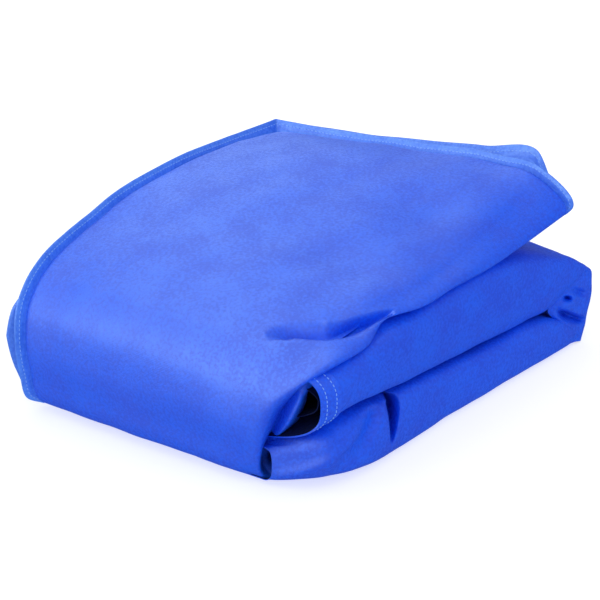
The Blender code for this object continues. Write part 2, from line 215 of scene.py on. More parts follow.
# End fold: ribs from the front to the back, at stations from inside the middle leaf's end to the ground
END_FOLD_RIBS = (
    ((190, -172, 88), (198, -174, 89), (203, -174, 90), (207, -170, 91), (210, -150, 92),
     (211, -70, 94), (211, 20, 94), (211, 100, 92), (206, 162, 87)),
    ((188, -181, 74), (202, -185, 77), (216, -187, 78), (231, -188, 76.5), (229, -160, 85),
     (228, -80, 93), (227, 20, 93), (227, 100, 90), (221, 167, 83)),
    ((178, -178, 61), (196, -186, 66), (217, -188, 70), (237, -190, 72), (239, -163, 78),
     (240, -80, 79), (241, 20, 79), (240, 100, 77), (227, 171, 71)),
    ((174, -179, 56), (193, -188, 59), (216, -190, 61), (238, -190, 61), (243, -164, 63),
     (244, -80, 62), (245, 20, 62), (243, 100, 62), (228, 173, 61)),
    ((171, -179, 52), (191, -190, 52), (214, -191, 51), (237.5, -190.5, 50), (244, -166, 50),
     (246, -80, 49), (246, 20, 49), (244, 100, 49), (228, 174, 49)),
    ((171, -179, 48), (189, -190, 45), (211, -191, 42), (234, -191, 40), (242, -163, 38),
     (244, -80, 37), (245, 20, 37), (243, 100, 37), (228, 173, 37)),
    ((173, -180, 44), (188, -191, 37), (208, -193, 33), (230, -191, 30), (238, -163, 30),
     (243, -80, 29), (244, 20, 29), (242, 100, 29), (227, 173, 29)),
    ((178, -181, 37), (190, -190, 28), (209, -192, 23), (228, -191, 18), (235, -160, 18),
     (241, -80, 17), (242, 20, 17), (240, 100, 17), (226, 172, 17)),
    ((184, -183, 4), (196, -188, 4), (208, -190, 3), (217, -191.5, 1), (226, -150, 1),
     (229, -80, 1), (228, 20, 1), (227, 100, 1), (216, 166, 1)),
)
END_GROOVE = (
    (174, -187, 54, 14, 2.5), (182, -190, 45, 26, 3.5), (192, -191, 38, 26, 4),
    (206, -192, 30, 20, 4), (224, -191, 22.5, 3, 3.5),
)
END_SLOT = (
    (172, -186, 63, 20, 2.2), (181, -189, 62, 30, 2.8), (190, -190, 59, 28, 2.8), (199, -190, 55, 3, 2.2),
)
END_FLUTE = ((200, -189, 65, 4, 3.5), (214, -190, 57, 8, 4), (228, -190, 50, 0, 4))
END_WAY = (-0.75, -0.6, 0.3)  # out of these creases

# Plies folded inside the leaves, as Y and Z at the open end
MIDDLE_INNER_FOLD = (
    (-60, 106), (-125, 108), (-150, 105), (-161, 98), (-160, 89), (-146, 78), (-120, 70), (-60, 70),
)
MIDDLE_INNER_START = -206  # X of the end that shows
BOTTOM_INNER_FOLD = (
    (-20, 50), (-90, 46), (-128, 47), (-146, 45), (-153, 38), (-146, 30), (-100, 27), (-20, 27),
)
BOTTOM_INNER_START = -190
INNER_FOLD_LENGTH = 150
INNER_FOLD_SHIFTS = (0, 3, 5)  # towards the back at its start, middle and end

# The middle leaf's open end
EXIT_HEM_END = -192  # X of the inner edge of its hem
EXIT_HEM_OVERHANG = 0.5  # beyond the leaf's end
EXIT_HEM_PROUD = 1.0  # how far the doubled hem stands off the leaf
EXIT_HEM_ROWS = 14  # of mesh
EXIT_STITCH_SHARES = (0.25, 0.72)

# Colours, where the cloth's grain is light and where it is dark
CLOTH_BLUE = (0.002, 0.100, 0.92, 1.0)
CLOTH_BLUE_DARK = (0.0005, 0.060, 0.76, 1.0)
# Lighter blue of the hems and side seams: painted light, where the hems face the lamps
HEM_PAINTED_LIGHT_BLUE = (0.055, 0.23, 0.94, 1.0)
HEM_PAINTED_LIGHT_BLUE_DARK = (0.022, 0.155, 0.84, 1.0)
# Darker blue on the plies' inner face: painted shade
INNER_FACE_PAINTED_SHADE_BLUE = (0.002, 0.075, 0.70, 1.0)
INNER_FACE_PAINTED_SHADE_BLUE_DARK = (0.0005, 0.045, 0.55, 1.0)
# Near black: painted shade inside the leaves, on the plies folded there and on the exit hem's inside
INSIDE_PAINTED_SHADE_BLUE = (0.0005, 0.005, 0.07, 1.0)
INSIDE_PAINTED_SHADE_BLUE_DARK = (0.0003, 0.003, 0.04, 1.0)
THREAD_BLUE = (0.20, 0.42, 0.97, 1.0)
SHEEN_TINT = (0.75, 0.85, 1.0, 1.0)

# Cloth finish, in metres where it is a length
WEAVE_PITCH = 0.0007
GRAIN_SCALE = 330.0
CLOUD_SCALE = 26.0
CLOUD_SHARE = 0.5
MOTTLE_LOW = 0.6
MOTTLE_HIGH = 0.9
ROUGHNESS_SPREAD = 0.07
GRAIN_RELIEF = 3.0  # times the weave's
RELIEF = 0.0002
RELIEF_STRENGTH = 0.5

# Studio, in metres, watts and degrees. Each lamp has a name, a place, a size, its power, and whether
# it lights the cloth itself or only shines on its gloss.
LAMP_COLOUR = (0.78, 1.02, 0.97)
LAMPS = (
    ("back_right", (1.3, 1.3, 0.9), 1.4, 12, False),
    ("overhead", (0.35, 0.65, 1.85), 1.3, 22, False),
    ("shoulder", (-0.6, 0.7, 1.7), 1.4, 26, False),
    ("back_left", (-1.4, 1.4, 1.0), 1.6, 26, False),
    ("left_low", (-2.0, 0.8, 0.4), 1.8, 52, False),
    ("left_high", (-2.0, 0.0, 1.2), 1.6, 40, False),
    ("key", (-1.2, -0.8, 1.8), 1.2, 3, True),
)
SKY = 0.98
FLOOR_SIZE = 12.0
FLOOR_DROP = 0.0006  # below the object
FLOOR_GREY = (0.5, 0.5, 0.5, 1)
FLOOR_GLOW = 0.62
CAMERA_TARGET = (-0.0131, -0.0032, 0.082)
CAMERA_AZIMUTH = -54.0
CAMERA_ELEVATION = 25.2
CAMERA_DISTANCE = 3.0
CAMERA_LENS = 180
CAMERA_SENSOR = 36


# Curves and lofts


def chord_knots(points):
    """Share of the way along at each point, from the mean distance between rows of points."""
    steps = np.linalg.norm(np.diff(points, axis=0), axis=-1).reshape(len(points) - 1, -1).mean(axis=1)
    return np.concatenate([[0.0], np.cumsum(steps)]) / steps.sum()


def smooth(points, knots, places):
    """The smooth curve through points, or rows of points, read at the given places."""
    slopes = np.gradient(points, knots, axis=0)
    span = np.clip(np.searchsorted(knots, places, side="right") - 1, 0, len(knots) - 2)
    column = (-1,) + (1,) * (points.ndim - 1)
    width = (knots[span + 1] - knots[span]).reshape(column)
    t = (places - knots[span]).reshape(column) / width
    return (
        (1 + 2 * t) * (1 - t) ** 2 * points[span]
        + t * (1 - t) ** 2 * width * slopes[span]
        + t * t * (3 - 2 * t) * points[span + 1]
        + t * t * (t - 1) * width * slopes[span + 1]
    )


def loft(ribs, stations, columns, crease=0):
    """Rows of points at the given stations, counted in ribs, and columns, counted in a rib's points.

    The surface is smooth, apart from a sharp crease along one column of the ribs' points.
    """
    ribs = np.array(ribs, float)
    across = []
    for first, last, wanted in ((0, crease, columns[columns < crease]),
                                (crease, ribs.shape[1] - 1, columns[columns >= crease])):
        if len(wanted):
            places = np.arange(first, last + 1)
            runs = ribs[:, first: last + 1]
            knots = [chord_knots(run) for run in runs]
            across.append([smooth(run, k, np.interp(wanted, places, k)) for run, k in zip(runs, knots)])
    across = np.concatenate(across, axis=1)
    knots = chord_knots(across)
    return smooth(across, knots, np.interp(stations, np.arange(len(ribs)), knots))


def unit(vectors):
    return vectors / np.maximum(np.linalg.norm(vectors, axis=-1, keepdims=True), 1e-9)


# Nets: a dictionary with the points, normals, flat places and faces of one side of a cloth


def make_net(grid):
    """The net of a grid of points, with its flat place in mm for the weave."""
    rows, columns = grid.shape[:2]
    index = np.arange(rows * columns).reshape(rows, columns)
    quads = np.stack([index[:-1, :-1], index[1:, :-1], index[1:, 1:], index[:-1, 1:]], axis=-1)
    along = chord_knots(grid) * np.linalg.norm(np.diff(grid, axis=0), axis=-1).mean(axis=1).sum()
    turned = grid.transpose(1, 0, 2)
    across = chord_knots(turned) * np.linalg.norm(np.diff(turned, axis=0), axis=-1).mean(axis=1).sum()
    flat = np.stack(np.meshgrid(along, across, indexing="ij"), axis=-1)
    net = {
        "points": grid.reshape(-1, 3).copy(),
        "faces": [tuple(quad) for quad in quads.reshape(-1, 4).tolist()],
        "flat": flat.reshape(-1, 2),
        "shape": (rows, columns),
    }
    find_normals(net)
    return net


def find_normals(net):
    normals = np.zeros_like(net["points"])
    faces = np.array(net["faces"])
    corners = net["points"][faces]
    facing = np.cross(corners[:, 2] - corners[:, 0], corners[:, 3] - corners[:, 1])
    for corner in range(4):
        np.add.at(normals, faces[:, corner], facing)
    net["normals"] = unit(normals)


def distance_to_path(points, path):
    """Distance of each point from a path, its share of the way along, and the nearest place on it."""
    best = np.full(len(points), np.inf)
    place = np.zeros(len(points))
    nearest = np.zeros_like(points)
    for k in range(len(path) - 1):
        run = path[k + 1, :3] - path[k, :3]
        t = np.clip((points - path[k, :3]) @ run / max(run @ run, 1e-9), 0, 1)
        spot = path[k, :3] + t[:, None] * run
        distance = np.linalg.norm(points - spot, axis=1)
        closer = distance < best
        best[closer] = distance[closer]
        place[closer] = k + t[closer]
        nearest[closer] = spot[closer]
    return best, place, nearest


def press(net, path, side=None, way=None):
    """Press the cloth in along a path of rows with X, Y, Z, depth and half width.

    It is pressed against its normals, or against a given way. A sixth value in each row is the half
    width on the side of the path that side points to.
    """
    path = np.array(path, float)
    places = np.arange(len(path), dtype=float)
    path = smooth(path, places, np.linspace(0, len(path) - 1, 8 * len(path)))
    distance, place, nearest = distance_to_path(net["points"], path)
    depth, width, far_width = (np.interp(place, np.arange(len(path)), path[:, k]) for k in (3, 4, -1))
    if side is not None:
        width = np.where((net["points"] - nearest) @ np.array(side, float) > 0, far_width, width)
    out = net["normals"] if way is None else unit(np.array(way, float))
    net["points"] = net["points"] - out * (depth * np.exp(-((distance / width) ** 2)))[:, None]
    find_normals(net)


def ripple(net, ripples):
    """Soft unevenness of hand-folded cloth: a few waves of about each given length."""
    for height, length, seed in ripples:
        rng = np.random.default_rng(seed)
        total = np.zeros(len(net["points"]))
        for _ in range(WAVES):
            wave = unit(rng.normal(size=3)) / (length * rng.uniform(0.6, 1.6))
            total += np.sin(2 * math.pi * (net["points"] @ wave) + rng.uniform(0, 6.28))
        net["points"] = net["points"] + net["normals"] * (total * height / WAVES_HEIGHT)[:, None]
        find_normals(net)


def cut_net(net, point, normal):
    """The two parts of a net on either side of a plane, first the one that normal points away from."""
    work = bmesh.new()
    u = work.verts.layers.float.new("u")
    v = work.verts.layers.float.new("v")
    shade = work.verts.layers.float_vector.new("shade")
    corners = []
    for place, flat, facing in zip(net["points"], net["flat"], net["normals"]):
        corner = work.verts.new(place)
        corner[u], corner[v] = flat
        corner[shade] = Vector(facing)
        corners.append(corner)
    for face in net["faces"]:
        work.faces.new([corners[k] for k in face])
    geometry = work.verts[:] + work.edges[:] + work.faces[:]
    bmesh.ops.bisect_plane(work, geom=geometry, dist=0.01, plane_co=point, plane_no=normal)
    parts = []
    for sign in (-1, 1):
        used = {}
        part = {"points": [], "flat": [], "normals": [], "faces": []}
        for face in work.faces:
            if (face.calc_center_median() - Vector(point)).dot(Vector(normal)) * sign < 0:
                continue
            loop = []
            for corner in face.verts:
                if corner not in used:
                    used[corner] = len(part["points"])
                    part["points"].append(tuple(corner.co))
                    part["flat"].append((corner[u], corner[v]))
                    part["normals"].append(tuple(corner[shade]))
                loop.append(used[corner])
            part["faces"].append(tuple(loop))
        parts.append({key: np.array(value) if key != "faces" else value for key, value in part.items()})
        parts[-1]["normals"] = unit(parts[-1]["normals"])
    work.free()
    return parts


def boundary(faces):
    """Edges with a face on one side only, each in its face's direction."""
    seen = {}
    for face in faces:
        for k in range(len(face)):
            edge = (face[k - 1], face[k])
            if edge[::-1] in seen:
                del seen[edge[::-1]]
            else:
                seen[edge] = True
    return list(seen)


def add_object(name, mesh, material):
    mesh.materials.append(material)
    piece = bpy.data.objects.new(name, mesh)
    bpy.context.scene.collection.objects.link(piece)
    return piece


def make_mesh(name, points, faces):
    """A mesh of points given in millimetres."""
    mesh = bpy.data.meshes.new(name)
    mesh.from_pydata(((np.array(points) - FOOTPRINT_MIDDLE) * MM).tolist(), [], faces)
    return mesh


def lay_weave(mesh, flat):
    """Give the mesh its flat places in mm for the weave, and return the point at each face corner."""
    layer = mesh.uv_layers.new(name="weave")
    corners = np.empty(len(mesh.loops), np.int32)
    mesh.loops.foreach_get("vertex_index", corners)
    layer.data.foreach_set("uv", (flat * MM)[corners].astype(np.float32).ravel())
    return corners


def cloth(name, net, thickness, material, painted_shade_inside=None):
    """A closed piece of cloth whose outer side is the net; its inner side may take a darker material, as
    painted shade.
    """
    count = len(net["points"])
    inner = net["points"] - net["normals"] * thickness
    faces = list(net["faces"])
    faces += [tuple(k + count for k in face[::-1]) for face in net["faces"]]
    side_faces = len(faces)
    faces += [(b, a, a + count, b + count) for a, b in boundary(net["faces"])]
    mesh = make_mesh(name, np.concatenate([net["points"], inner]), faces)
    corners = lay_weave(mesh, np.concatenate([net["flat"], net["flat"]]))
    shading = np.concatenate([net["normals"], -net["normals"]])[corners]
    for polygon in mesh.polygons[side_faces:]:
        for loop in polygon.loop_indices:
            shading[loop] = polygon.normal
    mesh.shade_smooth()
    mesh.normals_split_custom_set(shading.tolist())
    piece = add_object(name, mesh, material)
    if painted_shade_inside:
        mesh.materials.append(painted_shade_inside)
        for polygon in mesh.polygons[len(net["faces"]): side_faces]:
            polygon.material_index = 1
    return piece


# Materials


def noise(nodes, links, place, scale, detail):
    texture = nodes.new("ShaderNodeTexNoise")
    texture.inputs["Scale"].default_value = scale
    texture.inputs["Detail"].default_value = detail
    links.new(place.outputs["Object"], texture.inputs["Vector"])
    return texture.outputs["Fac"]


def multiply_add(nodes, links, value, factor, added):
    """value times factor, plus added."""
    sum_of_both = nodes.new("ShaderNodeMath")
    sum_of_both.operation = "MULTIPLY_ADD"
    links.new(value, sum_of_both.inputs[0])
    sum_of_both.inputs[1].default_value = factor
    links.new(added, sum_of_both.inputs[2])
    return sum_of_both.outputs["Value"]


def mottle(nodes, links, value, low=0.0, high=1.0):
    """A mottled value from low to high."""
    ramp = nodes.new("ShaderNodeMapRange")
    ramp.inputs["From Min"].default_value = MOTTLE_LOW
    ramp.inputs["From Max"].default_value = MOTTLE_HIGH
    ramp.inputs["To Min"].default_value = low
    ramp.inputs["To Max"].default_value = high
    links.new(value, ramp.inputs["Value"])
    return ramp.outputs["Result"]


def cloth_material(name, colour, dark, roughness=0.46, gloss=0.4):
    """Plain-weave polyester: threads over and under, with a faint mottled grain."""
    material = bpy.data.materials.new(name)
    material.use_nodes = True
    nodes, links = material.node_tree.nodes, material.node_tree.links
    shader = nodes["Principled BSDF"]
    shader.inputs["Specular IOR Level"].default_value = gloss
    shader.inputs["Sheen Weight"].default_value = 0.012
    shader.inputs["Sheen Roughness"].default_value = 0.45
    shader.inputs["Sheen Tint"].default_value = SHEEN_TINT

    place = nodes.new("ShaderNodeTexCoord")
    grain = noise(nodes, links, place, GRAIN_SCALE, 3.0)
    cloud = noise(nodes, links, place, CLOUD_SCALE, 2.0)
    share = multiply_add(nodes, links, cloud, CLOUD_SHARE, grain)
    mix = nodes.new("ShaderNodeMix")
    mix.data_type = "RGBA"
    mix.inputs["A"].default_value = dark
    mix.inputs["B"].default_value = colour
    links.new(mottle(nodes, links, share), mix.inputs["Factor"])
    links.new(mix.outputs["Result"], shader.inputs["Base Color"])
    worn = mottle(nodes, links, share, roughness + ROUGHNESS_SPREAD, roughness - ROUGHNESS_SPREAD)
    links.new(worn, shader.inputs["Roughness"])

    bump = nodes.new("ShaderNodeBump")
    bump.inputs["Strength"].default_value = RELIEF_STRENGTH
    bump.inputs["Distance"].default_value = RELIEF
    height = multiply_add(nodes, links, grain, GRAIN_RELIEF, weave_height(nodes, links))
    links.new(height, bump.inputs["Height"])
    links.new(bump.outputs["Normal"], shader.inputs["Normal"])
    return material


def weave_height(nodes, links):
    """Height of crossing threads: each is a rounded ridge, and they take turns to be on top."""
    flat = nodes.new("ShaderNodeUVMap")
    flat.uv_map = "weave"
    checker = nodes.new("ShaderNodeTexChecker")
    checker.inputs["Scale"].default_value = 1.0 / WEAVE_PITCH
    checker.inputs["Color1"].default_value = (1, 1, 1, 1)
    checker.inputs["Color2"].default_value = (0, 0, 0, 1)
    links.new(flat.outputs["UV"], checker.inputs["Vector"])
    ridges = []
    for direction in ("X", "Y"):
        wave = nodes.new("ShaderNodeTexWave")
        wave.bands_direction = direction
        wave.inputs["Scale"].default_value = 0.5 * math.pi / (10 * WEAVE_PITCH)
        links.new(flat.outputs["UV"], wave.inputs["Vector"])
        ridges.append(wave)
    mix = nodes.new("ShaderNodeMix")
    mix.data_type = "FLOAT"
    links.new(checker.outputs["Color"], mix.inputs["Factor"])
    links.new(ridges[0].outputs["Fac"], mix.inputs["A"])
    links.new(ridges[1].outputs["Fac"], mix.inputs["B"])
    return mix.outputs["Result"]


def thread_material():
    material = bpy.data.materials.new("thread")
    material.use_nodes = True
    shader = material.node_tree.nodes["Principled BSDF"]
    shader.inputs["Base Color"].default_value = THREAD_BLUE
    shader.inputs["Roughness"].default_value = 0.45
    shader.inputs["Specular IOR Level"].default_value = 0.3
    return material


# Hems


def offsets_at(table, places):
    """Hem offsets read from a table, at places counted in its rows."""
    table = np.array(table, float)
    return np.stack([np.interp(places, np.arange(len(table)), table[:, k]) for k in range(3)], axis=1)


def hem_path(edge, offsets, normals):
    """Foot and free edge of a hem, and the way its upper side faces."""
    foot = edge - normals * (EDGE_DROP + 0.5 * HEM_THICKNESS + HEM_CLEARANCE)
    free = edge + offsets
    out = unit(free - foot)
    along = unit(np.gradient(foot, axis=0))
    up = unit(np.cross(out, along))
    up *= np.sign((up * normals).sum(axis=1, keepdims=True))
    return foot, free, up


def hem_profile():
    """Section of cloth turned twice, from its foot to its free edge and back underneath.

    Each point is a share of the width and a height in mm.
    """
    half = HEM_THICKNESS / 2
    top = [
        (0.0, half * 0.8), (0.18, half), (0.28, half * 1.02), (0.34, half * 0.75), (0.40, half * 1.02),
        (0.7, half * 1.05), (0.9, half * 0.95), (0.97, half * 0.6), (1.0, 0.0),
    ]
    return top + [(share, -height) for share, height in top[-2::-1]]


def hem_band(name, foot, free, up, material):
    """The hem swept along its path, closed at both ends."""
    rings = []
    for share, height in hem_profile():
        rings.append(foot + (free - foot) * share + up * height)
    rings = np.stack(rings, axis=1)
    count, around = rings.shape[:2]
    faces = []
    for row in range(count - 1):
        for k in range(around):
            following = (k + 1) % around
            faces.append((row * around + k, row * around + following,
                          (row + 1) * around + following, (row + 1) * around + k))
    faces.append(tuple(range(around))[::-1])
    faces.append(tuple((count - 1) * around + k for k in range(around)))
    mesh = make_mesh(name, rings.reshape(-1, 3), faces)
    across = np.tile(np.arange(around) * HEM_PROFILE_STEP, count)
    lay_weave(mesh, np.stack([np.repeat(lengths(foot), around), across], axis=1))
    face_out(mesh)
    mesh.shade_smooth()
    return add_object(name, mesh, material)


def face_out(mesh):
    work = bmesh.new()
    work.from_mesh(mesh)
    bmesh.ops.recalc_face_normals(work, faces=work.faces)
    work.to_mesh(mesh)
    work.free()


def lengths(line):
    """Distance along a line of points, at each point."""
    return np.concatenate([[0], np.cumsum(np.linalg.norm(np.diff(line, axis=0), axis=1))])


def point_at(place, along, values):
    return np.array([np.interp(place, along, values[:, k]) for k in range(3)])


def stitch_row(name, foot, free, up, share, material, lift=HEM_THICKNESS / 2 * 0.9):
    """Topstitches along a hem, each a short raised thread, at a height above its middle."""
    line = foot + (free - foot) * share + up * lift
    along = lengths(line)
    ring_shares = np.array([0.0, 0.15, 0.5, 0.85, 1.0])
    ring_rises = np.array([-0.25, 0.1, 0.25, 0.1, -0.25])
    ring_radii = np.array([0.25, 0.85, 1.0, 0.85, 0.25]) * THREAD_RADIUS
    sides = 6
    last_ring = len(ring_shares) - 1
    points = []
    faces = []
    for start in np.arange(FIRST_STITCH, along[-1] - STITCH_LENGTH, STITCH_PITCH):
        first = len(points)
        for ring_share, lifted, radius in zip(ring_shares, ring_rises, ring_radii):
            place = start + STITCH_LENGTH * ring_share
            centre = point_at(place, along, line)
            rise = unit(point_at(place, along, up))
            forward = unit(point_at(place + 0.5, along, line) - point_at(place - 0.5, along, line))
            side = np.cross(forward, rise)
            for k in range(sides):
                angle = 2 * math.pi * k / sides
                out = side * math.cos(angle) + rise * math.sin(angle)
                points.append(centre + rise * lifted + out * radius)
        for ring in range(last_ring):
            for k in range(sides):
                a = first + ring * sides + k
                b = first + ring * sides + (k + 1) % sides
                faces.append((a, b, b + sides, a + sides))
        faces.append(tuple(first + k for k in range(sides))[::-1])
        faces.append(tuple(first + last_ring * sides + k for k in range(sides)))
    mesh = make_mesh(name, points, faces)
    face_out(mesh)
    mesh.shade_smooth()
    return add_object(name, mesh, material)


# Leaves


def leaf_section(leaf, x):
    """Front, back, low, high, crown, sag and flatness of a leaf at X."""
    table = np.array(leaf, float)
    return smooth(table[:, 1:], table[:, 0], np.array([x]))[0]


def quarter_section(flatness):
    """Shares of a leaf's half width and half height, from its upper ply's middle to its front crease."""
    flat = np.linspace(0, 0.9, 50)
    height = (1 - flat**flatness) ** (1 / LEAF_ROUNDNESS)
    bend = height[-1] * np.cos(np.linspace(0, math.pi / 2, 150))[1:]
    return (np.concatenate([flat, (1 - bend**LEAF_ROUNDNESS) ** (1 / flatness)]),
            np.concatenate([height, bend]))


def leaf_ring(leaf, x, places):
    """Points round a leaf's section: from the back crease, under it, up the front and over the top."""
    front, back, low, high, crown, sag, flatness = leaf_section(leaf, x)
    width, height = quarter_section(flatness)
    across = np.concatenate([-width[::-1], width[1:], width[-2::-1], -width[1:]])
    up = np.concatenate([-height[::-1], -height[1:], height[-2::-1], height[1:]])
    y = (front + back) / 2 - (back - front) / 2 * across
    bulge = (crown * np.maximum(up, 0) - sag * np.maximum(-up, 0)) * (1 - across**2)
    z = (low + high) / 2 + (high - low) / 2 * up + bulge
    ring = np.stack([np.full_like(y, x), y, z], axis=1)
    steps = np.linalg.norm(np.diff(ring, axis=0), axis=1)
    density = np.where(ring[1:, 1] < front + FRONT_REACH, FRONT_DENSITY, 1.0)
    knots = np.concatenate([[0], np.cumsum(steps * density)])
    wanted = places * knots[-1]
    return np.stack([np.interp(wanted, knots, ring[:, k]) for k in range(3)], axis=1)


def leaf_net(leaf, stations, columns):
    places = np.linspace(0, 1, columns)
    return make_net(np.array([leaf_ring(leaf, x, places) for x in stations]))


# The pieces


def dip(net, side):
    """Dip a grid net to the foot of its hem, along its back (last column) or its mouth (last row)."""
    points = net["points"].reshape(*net["shape"], 3)
    rim = points[:, -1:] if side == "back" else points[-1:]
    gap = np.linalg.norm(points - rim, axis=-1).reshape(-1)
    amount = EDGE_DROP * np.clip(1 - gap / EDGE_ROLL, 0, 1) ** 2
    net["points"] = net["points"] - net["normals"] * amount[:, None]
    find_normals(net)


def spread(*runs):
    """Places along a grid: each run gives where it ends and how many places it has."""
    places = []
    start = 0.0
    for end, count in runs:
        places.append(np.linspace(start, end, count, endpoint=False))
        start = end
    return np.concatenate(places + [[start]])


# Where the rows and columns of mesh lie, closer together where the cloth is creased
OUTER_STATIONS = spread((5, 60), (9.5, 130), (MOUTH_STATION, 90))
OUTER_COLUMNS = spread((EDGE_COLUMN, 45), (5, 75), (8, 105))
OUTER_HEM_STATIONS = np.linspace(0.02, MOUTH_STATION, 300)
OUTER_HEM_SHARES = np.linspace(0.995, 0.06, 125)  # of the mouth, from the back corner to the front
SECOND_STATIONS = np.linspace(SECOND_START, MOUTH_STATION + 1, 190)
SECOND_COLUMNS = np.linspace(0, 4, 90)
SECOND_HEM_STATIONS = np.linspace(SECOND_START, MOUTH_STATION + 1, 260)
SECOND_HEM_SHARES = np.linspace(0.995, 0.03, 90)
LEAF_SHARES = spread((0.22, 60), (0.32, 60), (1, 140))  # of a leaf's length
END_FOLD_STATIONS = np.linspace(0, 8, 160)
END_FOLD_COLUMNS = spread((3, 110), (8, 110))


def outer_net():
    net = make_net(loft(OUTER_RIBS, OUTER_STATIONS, OUTER_COLUMNS, crease=VALLEY_COLUMN))
    press(net, PINCH, side=PINCH_FAR_SIDE)
    press(net, DENT_RIDGE)
    ripple(net, OUTER_RIPPLES)
    return net


def second_ribs():
    moved = np.array(OUTER_RIBS, float)[:, EDGE_COLUMN + 1:]
    moved[:, :, 0] += np.array(SECOND_INSETS)[:, :1]
    moved[:, :, 2] += np.array(SECOND_INSETS)[:, 1:]
    return np.concatenate([moved, [SECOND_MOUTH_RIB]])


def hem_along(net, stations, back_table, mouth_table, hem_stations, shares):
    """Foot, free edge and upper side of a hem: up the back to the corner, then down the mouth."""
    rows, columns = net["shape"]
    grid = net["points"].reshape(rows, columns, 3)
    normals = net["normals"].reshape(rows, columns, 3)
    row_of = np.interp(hem_stations, stations, np.arange(rows))
    back = smooth(grid[:, -1], np.arange(rows, dtype=float), row_of)
    back_normals = smooth(normals[:, -1], np.arange(rows, dtype=float), row_of)
    column_of = shares * (columns - 1)
    mouth = smooth(grid[-1], np.arange(columns, dtype=float), column_of)
    mouth_normals = smooth(normals[-1], np.arange(columns, dtype=float), column_of)
    edge = np.concatenate([back, mouth])
    facing = unit(np.concatenate([back_normals, mouth_normals]))
    span = (column_of - column_of[-1]) / (columns - 1 - column_of[-1])
    offsets = np.concatenate([offsets_at(back_table, hem_stations),
                              offsets_at(mouth_table, span * (len(mouth_table) - 1))])
    return hem_path(edge, offsets, facing)


def blend_wrap(piece):
    """Bake the piece's transform into its mesh."""
    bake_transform(piece)


def blend_flap(piece):
    """Bake the piece's transform into its mesh."""
    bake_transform(piece)


def part_of(rows, path):
    return tuple(values[rows] for values in path)


def ply(name, net, materials):
    # the ply's inner face takes the darker painted shade
    return cloth(name, net, CLOTH, materials["fabric"], materials["inner"])


def build_outer_ply(materials):
    """The wrap and top leaf's outer ply, cut along the crease where the mouth peels back."""
    net = outer_net()
    hem_net = dict(net)
    press(net, APEX_DIP)
    for start, end in GATHERS:
        press(net, ((*start, *GATHER_START), (*end, *GATHER_END)))
    dip(net, "back")
    dip(net, "mouth")
    joint = frame_joint("mouth_flap_peel")
    hinge = Vector(joint["pos_m"]) / MM + Vector(FOOTPRINT_MIDDLE)
    across = Vector((-joint["axis"][1], joint["axis"][0], 0))
    wrap_net, flap_net = cut_net(net, hinge, across)
    wrap = ply("wrap_and_top_leaf", wrap_net, materials)
    flap = ply("mouth_flap", flap_net, materials)
    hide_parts("wrap_outer_lower", "wrap_outer_upper", "top_leaf_front_panel")
    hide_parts("mouth_flap_panel")
    blend_wrap(wrap)
    blend_flap(flap)

    path = hem_along(hem_net, OUTER_STATIONS, OUTER_HEM_BACK, OUTER_HEM_MOUTH,
                     OUTER_HEM_STATIONS, OUTER_HEM_SHARES)
    split = int(np.searchsorted(OUTER_HEM_STATIONS, HEM_SPLIT_STATION))
    wrap_path = part_of(slice(0, split + 1), path)
    mouth_path = part_of(slice(split, None), path)
    wrap_hem, wrap_stitches = hem_pieces("outer_hem_wrap", wrap_path, materials)
    mouth_hem, mouth_stitches = hem_pieces("outer_hem_mouth", mouth_path, materials)
    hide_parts("wrap_hem_outer_lower", "wrap_hem_outer_upper")
    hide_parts("mouth_flap_hem")
    for piece in (wrap_hem, wrap_stitches):
        blend_wrap(piece)
    for piece in (mouth_hem, mouth_stitches):
        blend_flap(piece)


def build_second_ply(materials):
    """The sleeve's other side, just inside the outer ply and a little longer at the mouth."""
    net = make_net(loft(second_ribs(), SECOND_STATIONS, SECOND_COLUMNS))
    ripple(net, SECOND_RIPPLES)
    hem_net = dict(net)
    dip(net, "back")
    dip(net, "mouth")
    second = ply("second_ply_cloth", net, materials)
    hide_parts("wrap_inner_lower", "wrap_inner_upper", "second_ply")
    path = hem_along(hem_net, SECOND_STATIONS, SECOND_HEM_BACK, SECOND_HEM_MOUTH,
                     SECOND_HEM_STATIONS, SECOND_HEM_SHARES)
    hem, stitches = hem_pieces("second_hem", path, materials)
    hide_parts("wrap_hem_inner_lower", "wrap_hem_inner_upper", "second_ply_hem")
    for piece in (second, hem, stitches):
        blend_wrap(piece)


def hem_pieces(name, path, materials):
    # the hem takes the lighter blue, painted light
    hem = hem_band(name, *path, materials["hem"])
    stitches = stitch_row(name + "_stitches", *path, STITCH_SHARE, materials["thread"])
    return hem, stitches


def build_leaf(name, table, body, creases, seam_node, materials):
    """A folded leaf of the sleeve, and the side seam along its back crease."""
    first, last = table[0][0], table[-1][0]
    net = leaf_net(table, first + LEAF_SHARES * (last - first), LEAF_COLUMNS)
    for path in creases:
        press(net, path, PLEAT_FAR_SIDE, PLEAT_WAY)
    ripple(net, LEAF_RIPPLES)
    # the leaf's inside takes the near-black painted shade
    leaf = cloth(name, net, CLOTH, materials["fabric"], materials["painted_shade_inside"])
    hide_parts(name + "_lower", name + "_upper")
    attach(leaf, body)
    return leaf, build_side_seam(seam_node, table, body, materials)


def build_side_seam(node, table, body, materials):
    places = np.linspace(SEAM_START, SEAM_END, 120)
    back, low, high = np.array([leaf_section(table, x)[1:4] for x in places]).T
    foot = np.stack([places, back + SEAM_CLEARANCE, (low + high) / 2 - SEAM_WIDTH / 2], axis=1)
    free = foot + np.array([0, 0, SEAM_WIDTH])
    up = np.tile(np.array([0, 1.0, 0]), (len(places), 1))
    seam, stitches = hem_pieces(node + "_band", (foot, free, up), materials)
    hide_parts(node)
    for piece in (seam, stitches):
        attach(piece, body)
    return [seam, stitches]


